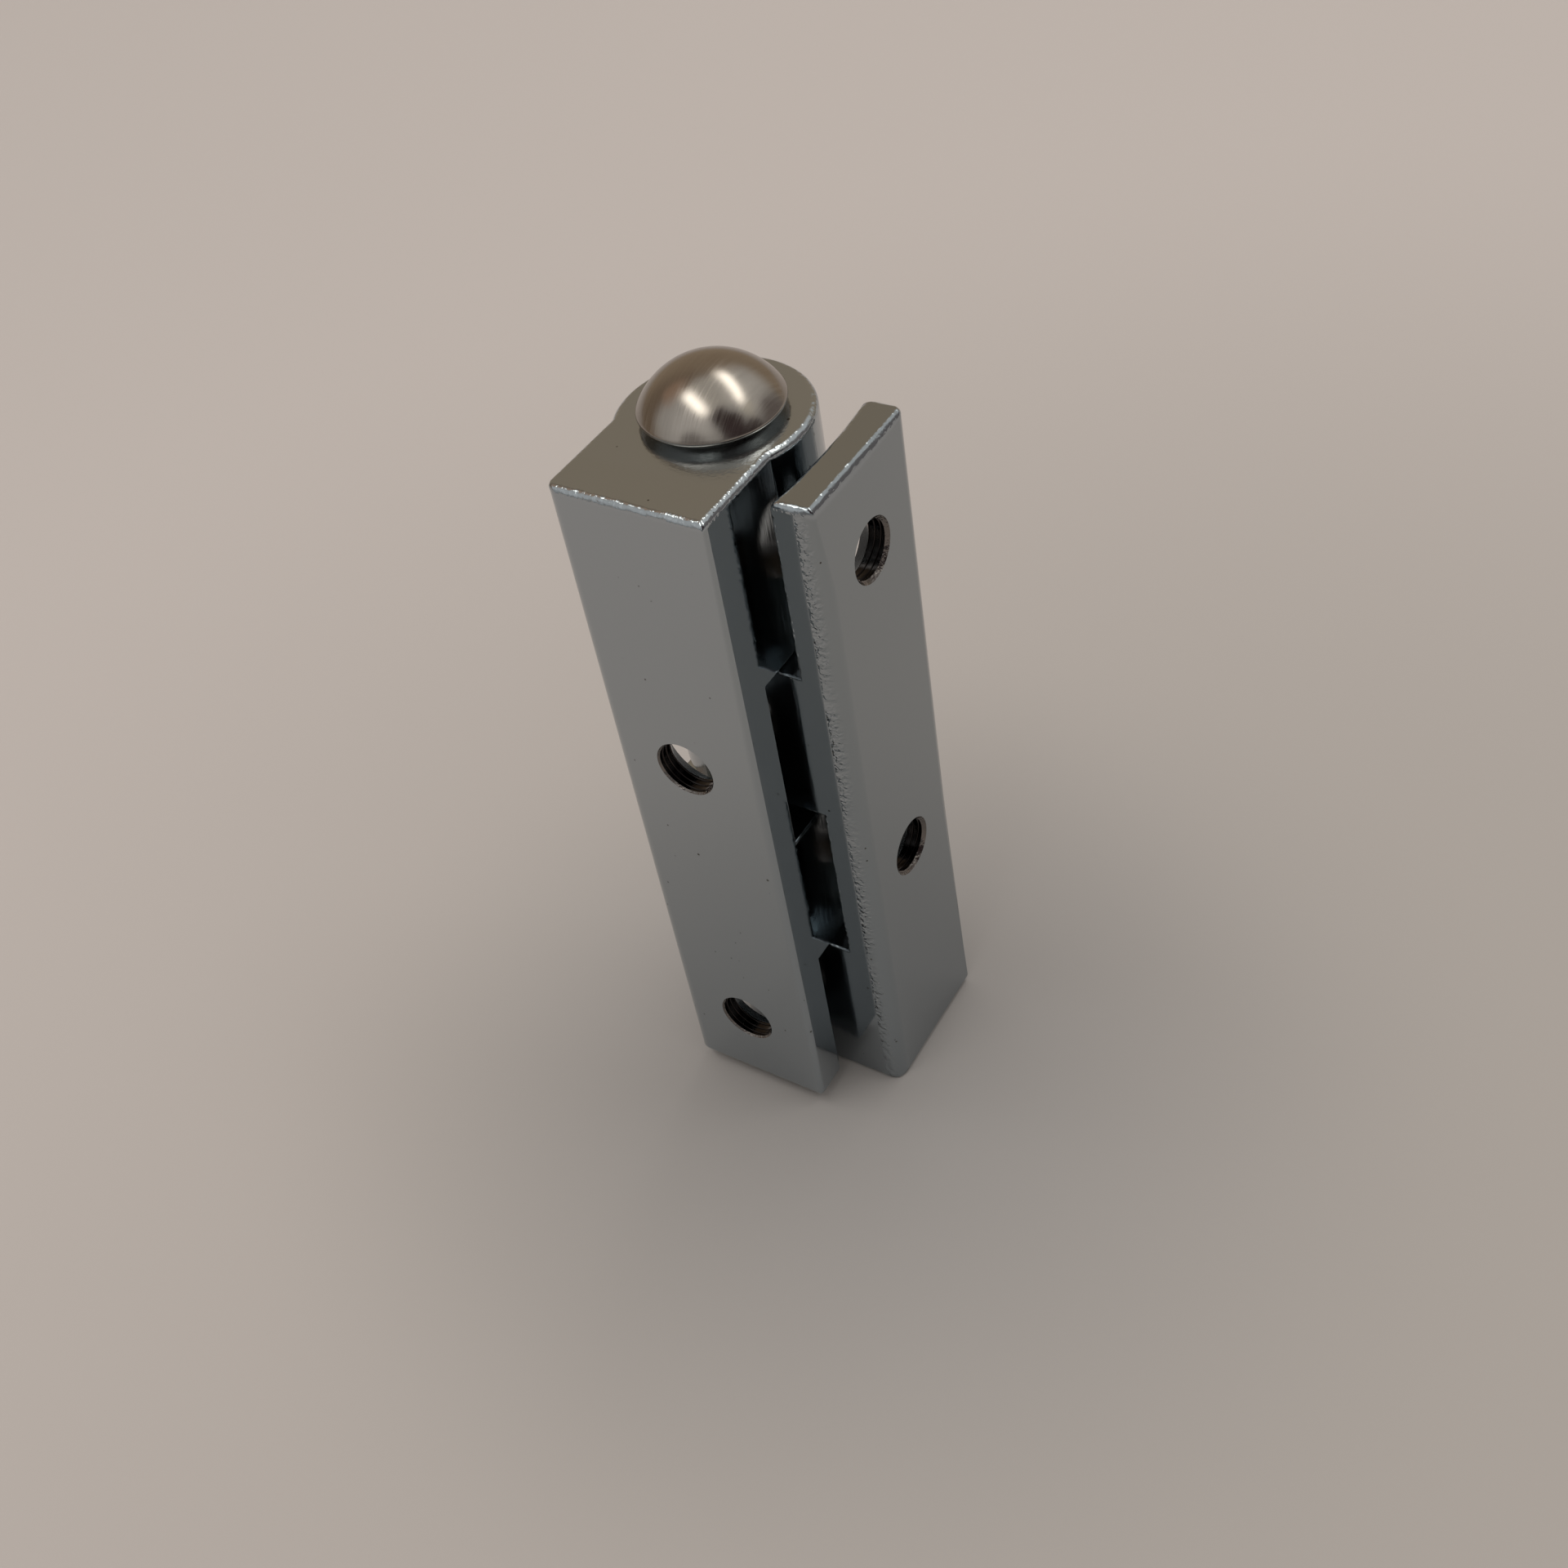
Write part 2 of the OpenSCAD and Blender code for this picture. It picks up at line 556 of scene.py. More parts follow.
@dataclass
class HingeLeaf:
    """One casting, used for both leaves: sizes in millimetres.

    In its own frame the mounting face is at y = 0, the plain end at z = 0 and the pin's axis at
    y = reach. Its outline, slots and hole places are those of the solids. The plate is thicker
    than theirs, the screw holes are wider and threaded, and the edges are rounded. Each long edge
    has its own radius, as in the photo: right is the casting's +x side, left its -x side.
    """

    leaf_l: float = 62.0
    leaf_w: float = 13.0
    plate_t: float = 3.3
    hollow: float = 0.4
    leaf_step: float = 1.2
    knuckle_d: float = 14.5
    end_knuckle_l: float = 16.5
    seam_gap: float = 0.1
    assembly_gap: float = 2.0
    swing_gap: float = 0.95
    bore_r: float = 3.05
    tap_r: float = 2.22
    thread_h: float = 0.1
    thread_pitch: float = 0.5
    thread_root_share: float = 0.76
    thread_crest_share: float = 0.14
    thread_turns: int = 10
    thread_lead_turns: float = 1.5
    lead_in: float = 0.28
    relief: float = 1.3
    front_right_r: float = 0.5
    front_left_r: float = 1.2
    back_right_r: float = 0.3
    back_left_r: float = 0.8
    end_r: float = 0.55
    seam_r: float = 0.2
    # Length by which each cut runs past the face it opens
    overrun: float = 1.0
    # How far the facets of the hollow can leave the plate's edge from its true place
    hollow_slack: float = 0.05
    # Side edges that rise less than this are no long edges
    long_from: float = 1.0
    # Edges that turn less than this stay as they are
    round_from_deg: float = 40.0
    # Faces of a rounding whose normals rise less than this belong to a long edge
    upright_rise: float = 0.3
    smooth_deg: float = 32.0
    knuckle_sides: int = 160
    hollow_sides: int = 128
    bore_sides: int = 96
    hole_sides: int = 64
    thread_steps: int = 40
    bevel_segments: int = 5

    @property
    def reach(self) -> float:
        """Distance from the mounting face to the pin's axis."""
        return self.knuckle_d / 2 + self.swing_gap + self.plate_t

    @property
    def mid_knuckle_l(self) -> float:
        """Length of the middle knuckle."""
        stack_half_l = (self.leaf_l + self.leaf_step - self.assembly_gap) / 2
        return stack_half_l - self.end_knuckle_l - self.seam_gap

    @property
    def end_slot_l(self) -> float:
        """Length of the slot for the other leaf's end knuckle."""
        return self.end_knuckle_l + self.seam_gap - self.leaf_step

    @property
    def mid_slot(self) -> Span:
        """Ends of the slot for the other leaf's middle knuckle."""
        low = self.end_slot_l + self.mid_knuckle_l
        return low, low + self.assembly_gap + self.mid_knuckle_l + self.seam_gap

    @property
    def screw_mid(self) -> float:
        """Height midway between the screw holes: the middle of the length below the end knuckle."""
        return (self.leaf_l - self.end_knuckle_l) / 2

    @property
    def hole_heights(self) -> Span:
        """Heights of the screw holes above the plain end, a whole number of millimetres apart."""
        half_pitch = round(sum(self.mid_slot) / 2 - self.end_slot_l / 2) / 2
        return self.screw_mid - half_pitch, self.screw_mid + half_pitch

    @property
    def frame_top(self) -> float:
        """Height of the frame leaf's upper end above the origin."""
        return self.leaf_l - self.screw_mid

    @property
    def door_top(self) -> float:
        """Height of the door leaf's upper end above the origin."""
        return self.frame_top - self.leaf_step

    def cylinder(self, radius: float, low: float, high: float, y: float, sides: int) -> Solid:
        """Adds an upright cylinder on the leaf's middle plane.

        Args:
            radius: Radius.
            low: Lower end.
            high: Upper end.
            y: Distance of its axis from the mounting face.
            sides: Facets round it.

        Returns:
            The new object, with its place in its mesh.
        """
        bpy.ops.object.select_all(action="DESELECT")
        bpy.ops.mesh.primitive_cylinder_add(
            vertices=sides, radius=radius, depth=high - low, location=(0, y, (low + high) / 2)
        )
        obj = bpy.context.object
        apply_place(obj)
        return obj

    def block(self, finishes: Sequence[Material]) -> Solid:
        """Makes the block that the leaf is cut from.

        Args:
            finishes: Materials of the leaf's surfaces.

        Returns:
            The block.
        """
        bpy.ops.object.select_all(action="DESELECT")
        bpy.ops.mesh.primitive_cube_add(size=1, location=(0, self.reach / 2, self.leaf_l / 2))
        obj = bpy.context.object
        obj.scale = (self.leaf_w, self.reach, self.leaf_l)
        apply_place(obj)
        for finish in finishes:
            obj.data.materials.append(finish)
        return obj

    def thread(self) -> Solid:
        """Makes the helical ridge that a tap leaves as a groove, along Z."""
        bpy.ops.object.select_all(action="DESELECT")
        bpy.ops.mesh.primitive_plane_add(size=1, rotation=(math.pi / 2, 0, 0))
        obj = bpy.context.object
        apply_place(obj)
        root, crest = self.tap_r - self.thread_h, self.tap_r + self.thread_h
        root_half = self.thread_root_share * self.thread_pitch / 2
        crest_half = self.thread_crest_share * self.thread_pitch / 2
        for vertex in obj.data.vertices:
            outer = vertex.co.x > 0
            half = crest_half if outer else root_half
            vertex.co = Vector((crest if outer else root, 0, math.copysign(half, vertex.co.z)))
        only(obj)
        bpy.ops.object.mode_set(mode="EDIT")
        bpy.ops.mesh.select_all(action="SELECT")
        bpy.ops.mesh.delete(type="ONLY_FACE")
        bpy.ops.object.mode_set(mode="OBJECT")
        sweep = obj.modifiers.new("sweep", "SCREW")
        sweep.angle = 2 * math.pi
        sweep.screw_offset = self.thread_pitch
        sweep.iterations = self.thread_turns
        sweep.steps = sweep.render_steps = self.thread_steps
        sweep.use_merge_vertices = True
        sweep.merge_threshold = MERGE
        bpy.ops.object.modifier_apply(modifier=sweep.name)
        bpy.ops.object.mode_set(mode="EDIT")
        bpy.ops.mesh.select_mode(type="EDGE")
        bpy.ops.mesh.select_all(action="DESELECT")
        bpy.ops.mesh.select_non_manifold()
        bpy.ops.mesh.fill()
        bpy.ops.mesh.select_all(action="SELECT")
        start = -self.thread_lead_turns * self.thread_pitch
        bpy.ops.transform.translate(value=(0, 0, start))
        bpy.ops.mesh.normals_make_consistent(inside=False)
        bpy.ops.object.mode_set(mode="OBJECT")
        return obj

    def screw_hole(self, z: float) -> Solid:
        """Makes the tapped hole's cutter: lead-in, threaded bore and relief.

        Args:
            z: Height of the hole above the plain end.

        Returns:
            The closed cutter, in place.
        """
        lead_top = self.tap_r + self.lead_in + self.overrun
        relief_y = self.plate_t - self.hollow - self.relief
        relief_h = self.relief + self.overrun
        profile = (
            (lead_top, -self.overrun),
            (self.tap_r, self.lead_in),
            (self.tap_r, relief_y),
            (self.tap_r + relief_h, relief_y + relief_h),
        )
        cutter = turned("screw hole", profile, self.hole_sides)
        combine(cutter, self.thread(), Joining.ADD)
        cutter.rotation_euler = (-math.pi / 2, 0, 0)
        cutter.location = (0, 0, z)
        apply_place(cutter)
        for polygon in cutter.data.polygons:
            in_front = polygon.center.y < self.lead_in
            surface = LeafSurface.LEAD_IN if in_front else LeafSurface.HOLE
            polygon.material_index = surface.value
        return cutter

    def build(self, name: str, finishes: Sequence[Material]) -> Solid:
        """Models the casting in its own frame.

        Args:
            name: Name of the new object.
            finishes: Materials in the order of the leaf's surfaces.

        Returns:
            The leaf, in millimetres.
        """
        leaf = self.block(finishes)
        leaf.name = name
        knuckles = self.cylinder(
            self.knuckle_d / 2, 0, self.leaf_l, self.reach, self.knuckle_sides
        )
        combine(leaf, knuckles, Joining.ADD)
        hollow_r = ((self.leaf_w / 2) ** 2 + self.hollow ** 2) / (2 * self.hollow)
        hollow_y = self.plate_t - self.hollow + hollow_r
        for low, high in ((-self.overrun, self.end_slot_l), self.mid_slot):
            slot = self.cylinder(hollow_r, low, high, hollow_y, self.hollow_sides)
            combine(leaf, slot, Joining.CUT)
        bore = self.cylinder(
            self.bore_r, -self.overrun, self.leaf_l + self.overrun, self.reach, self.bore_sides
        )
        combine(leaf, bore, Joining.CUT)
        for z in self.hole_heights:
            combine(leaf, self.screw_hole(z), Joining.CUT)
        self.round_edges(leaf)
        return leaf

    def radius(self, edge: bmesh.types.BMEdge) -> float:
        """Chooses the radius that an edge of the casting is rounded to.

        Args:
            edge: Edge of the leaf with all its cuts made.

        Returns:
            The radius, or 0 for an edge that stays sharp.
        """
        corner = math.radians(self.round_from_deg)
        if not edge.is_manifold or edge.calc_face_angle_signed(0.0) < corner:
            return 0.0
        a, b = (vertex.co for vertex in edge.verts)
        middle = (a + b) / 2
        hole_zone = self.tap_r + self.relief + self.overrun
        near_hole = any(
            math.hypot(middle.x, middle.z - z) < hole_zone for z in self.hole_heights
        )
        if near_hole and middle.y < self.plate_t + self.swing_gap / 2:
            return 0.0
        at_side = abs(abs(middle.x) - self.leaf_w / 2) < TOUCH
        upright = at_side and abs(a.z - b.z) > self.long_from
        if upright and middle.y < TOUCH:
            return self.front_right_r if middle.x > 0 else self.front_left_r
        if upright and middle.y < self.plate_t + self.hollow_slack:
            return self.back_right_r if middle.x > 0 else self.back_left_r
        at_end = min(middle.z, self.leaf_l - middle.z) < TOUCH
        return self.end_r if at_end else self.seam_r

    def part_flats(self, leaf: Solid) -> None:
        """Parts each flat straight through its holes, so that no seam of it runs into a corner.

        Args:
            leaf: The leaf, in edit mode.
        """
        across = [((0, 0, z), (0, 0, 1), (0, -1, 0)) for z in self.hole_heights]
        along = [((0, 0, 0), (1, 0, 0), (0, 0, side)) for side in (1, -1)]
        for point, normal, facing in across + along:
            mesh = bmesh.from_edit_mesh(leaf.data)
            for face in mesh.faces:
                face.select_set(face.normal.dot(Vector(facing)) > FACING)
            mesh.select_flush_mode()
            bmesh.update_edit_mesh(leaf.data)
            bpy.ops.mesh.bisect(plane_co=point, plane_no=normal)
        mesh = bmesh.from_edit_mesh(leaf.data)
        bpy.ops.mesh.select_all(action="DESELECT")
        for edge in mesh.edges:
            a, b = (vertex.co for vertex in edge.verts)
            flat = edge.is_manifold and edge.calc_face_angle(1.0) < FLAT_ANGLE
            level = any(abs(a.z - z) + abs(b.z - z) < TOUCH for z in self.hole_heights)
            middle = abs(a.x) + abs(b.x) < TOUCH
            edge.select_set(flat and not level and not middle)
        bmesh.update_edit_mesh(leaf.data)
        bpy.ops.mesh.dissolve_edges(use_verts=False)

    def round_edges(self, leaf: Solid) -> None:
        """Rounds the casting's outer edges, which take the pebbled finish.

        Args:
            leaf: The leaf, with all its cuts made.
        """
        only(leaf)
        bpy.ops.object.mode_set(mode="EDIT")
        bpy.ops.mesh.select_all(action="SELECT")
        bpy.ops.mesh.remove_doubles(threshold=MERGE)
        bpy.ops.mesh.dissolve_limited(angle_limit=FLAT_ANGLE)
        self.part_flats(leaf)
        mesh = bmesh.from_edit_mesh(leaf.data)
        weight = mesh.edges.layers.float.new("bevel_weight_edge")
        radii = [self.radius(edge) for edge in mesh.edges]
        widest = max(radii)
        for edge, radius in zip(mesh.edges, radii):
            edge[weight] = radius / widest
        bmesh.update_edit_mesh(leaf.data)
        bpy.ops.object.mode_set(mode="OBJECT")
        rounding = leaf.modifiers.new("rounding", "BEVEL")
        rounding.limit_method = "WEIGHT"
        rounding.width = widest
        rounding.segments = self.bevel_segments
        rounding.use_clamp_overlap = False
        rounding.face_strength_mode = "FSTR_AFFECTED"
        rounding.material = LeafSurface.END_EDGE.value
        bpy.ops.object.modifier_apply(modifier=rounding.name)
        for polygon in leaf.data.polygons:
            rounded = polygon.material_index == LeafSurface.END_EDGE.value
            if rounded and abs(polygon.normal.z) < self.upright_rise:
                polygon.material_index = LeafSurface.LONG_EDGE.value

    def finish(self, leaf: Solid, place: Matrix) -> None:
        """Puts a leaf in the hinge's frame, in metres, and smooths its shading.

        Args:
            leaf: The leaf in its own frame.
            place: Its place in the hinge, in millimetres.
        """
        leaf.matrix_world = Matrix.Scale(MM, 4) @ place
        apply_place(leaf)
        bpy.ops.object.shade_smooth_by_angle(angle=math.radians(self.smooth_deg))
        even = leaf.modifiers.new("even faces", "WEIGHTED_NORMAL")
        even.keep_sharp = True
        even.use_face_influence = True
        bpy.ops.object.modifier_apply(modifier=even.name)
        # The cuts leave an empty slot behind the leaf's own
        leaf.data.materials.pop(index=len(LeafSurface))

    def frame_place(self) -> Matrix:
        """Place of the frame leaf: mounting face at y = 0, screw holes about the origin."""
        return Matrix.Translation((0, 0, -self.screw_mid))

    def door_place(self) -> Matrix:
        """Place of the door leaf: turned end for end and swung to its rest pose."""
        return (
            Matrix.Translation((0, self.reach, self.door_top))
            @ Matrix.Rotation(math.pi / 2, 4, "Z")
            @ Matrix.Rotation(math.pi, 4, "Y")
            @ Matrix.Translation((0, -self.reach, 0))
        )


@dataclass
class HingePin:
    """Dome-headed pin: sizes in millimetres, those of the solids, with its rim rounded."""

    leaf: HingeLeaf
    shank_r: float = 3.0
    tip_chamfer: float = 0.6
    tip_recess: float = 0.5
    head_r: float = 5.375
    head_h: float = 4.0
    rim_h: float = 0.7
    rim_undercut: float = 0.8
    rim_round: float = 0.25
    # Radius of the dome's last ring, which is drawn together into its pole
    pole_r: float = 0.02
    smooth_deg: float = 35.0
    rim_steps: int = 6
    dome_rings: int = 40
    sides: int = 128

    def profile(self) -> List[Span]:
        """Lists radius and height from the tip to the top of the dome."""
        seat_z = self.leaf.frame_top
        tip_z = self.leaf.door_top - self.leaf.leaf_l + self.tip_recess
        cap = self.head_h - self.rim_h
        dome_r = (self.head_r ** 2 + cap ** 2) / (2 * cap)
        centre = seat_z + self.head_h - dome_r
        rim_z = seat_z + self.rim_h
        start = math.asin((rim_z - centre) / dome_r)
        below = Vector((self.rim_undercut, self.rim_h)).normalized()
        above = Vector((-math.sin(start), math.cos(start)))
        corner = Vector((self.head_r, rim_z))
        points = [
            (self.shank_r - self.tip_chamfer, tip_z),
            (self.shank_r, tip_z + self.tip_chamfer),
            (self.shank_r, seat_z),
            (self.head_r - self.rim_undercut, seat_z),
        ]
        for step in range(self.rim_steps + 1):
            share = step / self.rim_steps
            bend = (1 - share) ** 2 * -below + share ** 2 * above
            points.append(tuple(corner + self.rim_round * bend))
        first = start + self.rim_round / dome_r
        for ring in range(1, self.dome_rings):
            angle = first + (math.pi / 2 - first) * ring / self.dome_rings
            points.append((dome_r * math.cos(angle), centre + dome_r * math.sin(angle)))
        points.append((self.pole_r, centre + dome_r))
        return points

    def build(self, name: str, finish: Material) -> Solid:
        """Models the pin.

        Args:
            name: Name of the new object.
            finish: Its material.

        Returns:
            The pin, in metres, in place.
        """
        pin = turned(name, self.profile(), self.sides, closed_top=True)
        pin.matrix_world = Matrix.Scale(MM, 4) @ Matrix.Translation((0, self.leaf.reach, 0))
        apply_place(pin)
        bpy.ops.object.shade_smooth_by_angle(angle=math.radians(self.smooth_deg))
        pin.data.materials.append(finish)
        return pin


@dataclass(frozen=True)
class RoomPatch:
    """Soft-edged round patch of the room, as the metal mirrors it.

    Azimuth runs from the front (0) to the door leaf's side (90). All angles are in degrees, and
    the colour is linear light.
    """

    azimuth: float
    elevation: float
    radius: float
    edge: float
    colour: Point

    def over(self, tree: Tree, way: Socket, under: Socket) -> Socket:
        """Lays the patch over what is there already.

        Args:
            tree: Node tree of the world.
            way: Direction that is looked in.
            under: Colour so far.

        Returns:
            The colour with the patch.
        """
        turn, lift = math.radians(self.azimuth), math.radians(self.elevation)
        level = math.cos(lift)
        centre = (math.sin(turn) * level, -math.cos(turn) * level, math.sin(lift))
        near = add_node(tree, "VectorMath", {0: way, 1: centre}, operation="DOT_PRODUCT")["Value"]
        outer = math.cos(math.radians(self.radius + self.edge))
        inner = math.cos(math.radians(max(self.radius - self.edge, 0.0)))
        return fade(tree, near, outer, inner, under, (*self.colour, 1))


@dataclass(frozen=True)
class StripLamp:
    """Long soft lamp under the ceiling: offsets and sizes as shares of its height."""

    name: str
    x: float
    y: float
    length: float
    width: float
    turn_deg: float

    def hang(self, height_m: float, radiance: float) -> None:
        """Hangs the lamp.

        Args:
            height_m: Height above the origin.
            radiance: Brightness of its face.
        """
        data = bpy.data.lights.new(self.name, "AREA")
        data.shape = "RECTANGLE"
        data.size, data.size_y = self.length * height_m, self.width * height_m
        data.energy = radiance * math.pi * data.size * data.size_y
        lamp = bpy.data.objects.new(self.name, data)
        bpy.context.scene.collection.objects.link(lamp)
        lamp.location = (self.x * height_m, self.y * height_m, height_m)
        lamp.rotation_euler = (0, 0, math.radians(self.turn_deg))
        lamp.visible_camera = False
        lamp.visible_glossy = False

    def glow(self, tree: Tree, spot: Socket, softness: float) -> Socket:
        """Paints the lamp as the metal mirrors it.

        Args:
            tree: Node tree of the world.
            spot: Where the line of sight meets the ceiling, as a share of its height.
            softness: Width of its soft border, which reaches twice as far in from its ends.

        Returns:
            1 inside the lamp and 0 well outside it.
        """
        turned_spot = add_node(
            tree, "Mapping",
            {"Vector": spot, "Location": (self.x, self.y, 0),
             "Rotation": (0, 0, math.radians(self.turn_deg))},
            vector_type="TEXTURE",
        )["Vector"]
        apart = add_node(tree, "VectorMath", {0: turned_spot}, operation="ABSOLUTE")["Vector"]
        parts = add_node(tree, "SeparateXYZ", {0: apart})
        borders = (
            ("X", self.length / 2 - 2 * softness, self.length / 2 + softness),
            ("Y", self.width / 2 - softness, self.width / 2 + softness),
        )
        lengthwise, crosswise = (
            add_node(
                tree, "MapRange",
                {"Value": parts[axis], "From Min": inner, "From Max": outer, "To Min": 1.0,
                 "To Max": 0.0},
                interpolation_type="SMOOTHSTEP",
            )["Result"]
            for axis, inner, outer in borders
        )
        return add_node(tree, "Math", {0: lengthwise, 1: crosswise}, operation="MULTIPLY")[0]


@dataclass(frozen=True)
class MirroredRoom:
    """Dim room that only the metal mirrors: grey walls, a brown side and a pale ceiling.

    Colours are linear light, so that the lamps can be brighter than white. Each rise and turn is
    the span over which one colour gives way to the next.
    """

    low_grey: Point = (0.26, 0.25, 0.24)
    high_grey: Point = (0.56, 0.55, 0.53)
    grey_rise: Span = (0.1, 0.7)
    dim_brown: Point = (0.26, 0.195, 0.14)
    pale_brown: Point = (0.385, 0.298, 0.212)
    pale_way: Point = (-0.3, 0.95, 0.0)
    pale_turn: Span = (0.3, 0.72)
    brown_way: Point = (-0.82, 0.57, 0.0)
    brown_turn: Span = (0.0, 0.4)
    ceiling: Point = (0.70, 0.67, 0.62)
    ceiling_rise: Span = (0.84, 0.95)
    # How often and how far the patches' outlines wander
    wander_scale: float = 2.6
    wander: float = 0.1
    # Lines of sight that rise less than this meet the ceiling as if they rose by this much
    lowest_rise: float = 0.05
    lamp_colour: Point = (5.0, 4.8, 4.45)
    lamp_softness: float = 0.13
    # Azimuth, elevation, radius, soft edge and colour of each
    patches: Tuple[RoomPatch, ...] = (
        RoomPatch(-35, 40, 32, 12, (0.62, 0.60, 0.58)),
        RoomPatch(-5, 42, 26, 10, (0.80, 0.78, 0.76)),
        RoomPatch(145, 46, 26, 16, (0.74, 0.72, 0.69)),
        RoomPatch(-84, 46, 10, 7, (0.50, 0.34, 0.24)),
        RoomPatch(5, 13, 20, 9, (0.26, 0.24, 0.23)),
        RoomPatch(50, 50, 14, 4, (0.060, 0.042, 0.045)),
        RoomPatch(66, 34, 20, 4, (0.060, 0.040, 0.042)),
        RoomPatch(88, 20, 16, 5, (0.065, 0.047, 0.047)),
        RoomPatch(36, 32, 5, 4, (0.60, 0.58, 0.56)),
        RoomPatch(103, 40, 8, 6, (0.85, 0.80, 0.70)),
        RoomPatch(132, 12, 18, 9, (0.22, 0.19, 0.18)),
    )

    def walls(self, tree: Tree, way: Socket) -> Socket:
        """Paints the walls and the ceiling.

        Args:
            tree: Node tree of the world.
            way: Direction that is looked in.

        Returns:
            Their colour in that direction.
        """
        height = add_node(tree, "SeparateXYZ", {0: way})["Z"]
        to_pale, to_brown = (
            add_node(tree, "VectorMath", {0: way, 1: side}, operation="DOT_PRODUCT")["Value"]
            for side in (self.pale_way, self.brown_way)
        )
        grey = fade(tree, height, *self.grey_rise, (*self.low_grey, 1), (*self.high_grey, 1))
        brown = fade(
            tree, to_pale, *self.pale_turn, (*self.dim_brown, 1), (*self.pale_brown, 1)
        )
        wall = fade(tree, to_brown, *self.brown_turn, grey, brown)
        return fade(tree, height, *self.ceiling_rise, wall, (*self.ceiling, 1))

    def unsteady(self, tree: Tree, way: Socket) -> Socket:
        """Bends a direction slightly, so that the patches get uneven outlines.

        Args:
            tree: Node tree of the world.
            way: Direction that is looked in.

        Returns:
            The bent direction.
        """
        noise = add_node(
            tree, "TexNoise",
            {"Vector": way, "Scale": self.wander_scale, "Detail": 1.0},
        )["Color"]
        middle = (NOISE_LOW + NOISE_HIGH) / 2
        offset = add_node(
            tree, "VectorMath", {0: noise, 1: (middle, middle, middle)}, operation="SUBTRACT"
        )["Vector"]
        slight = add_node(
            tree, "VectorMath", {0: offset, "Scale": self.wander}, operation="SCALE"
        )["Vector"]
        return add_node(tree, "VectorMath", {0: way, 1: slight}, operation="ADD")["Vector"]

    def paint(self, tree: Tree, way: Socket, lamps: Sequence[StripLamp]) -> Socket:
        """Paints the whole room with its lamps.

        Args:
            tree: Node tree of the world.
            way: Direction that is looked in.
            lamps: Lamps under the ceiling.

        Returns:
            The room's colour in that direction.
        """
        seen = self.walls(tree, way)
        bent = self.unsteady(tree, way)
        for patch in self.patches:
            seen = patch.over(tree, bent, seen)
        height = add_node(tree, "SeparateXYZ", {0: way})["Z"]
        rise = add_node(tree, "Math", {0: height, 1: self.lowest_rise}, operation="MAXIMUM")[0]
        share = add_node(tree, "Math", {0: 1.0, 1: rise}, operation="DIVIDE")[0]
        spot = add_node(
            tree, "VectorMath", {0: way, "Scale": share}, operation="SCALE"
        )["Vector"]
        for lamp in lamps:
            glow = lamp.glow(tree, spot, self.lamp_softness)
            seen = add_node(
                tree, "Mix", {SHARE: glow, COLOUR_A: seen, COLOUR_B: (*self.lamp_colour, 1)},
                data_type="RGBA",
            )[MIXED_COLOUR]
        return seen


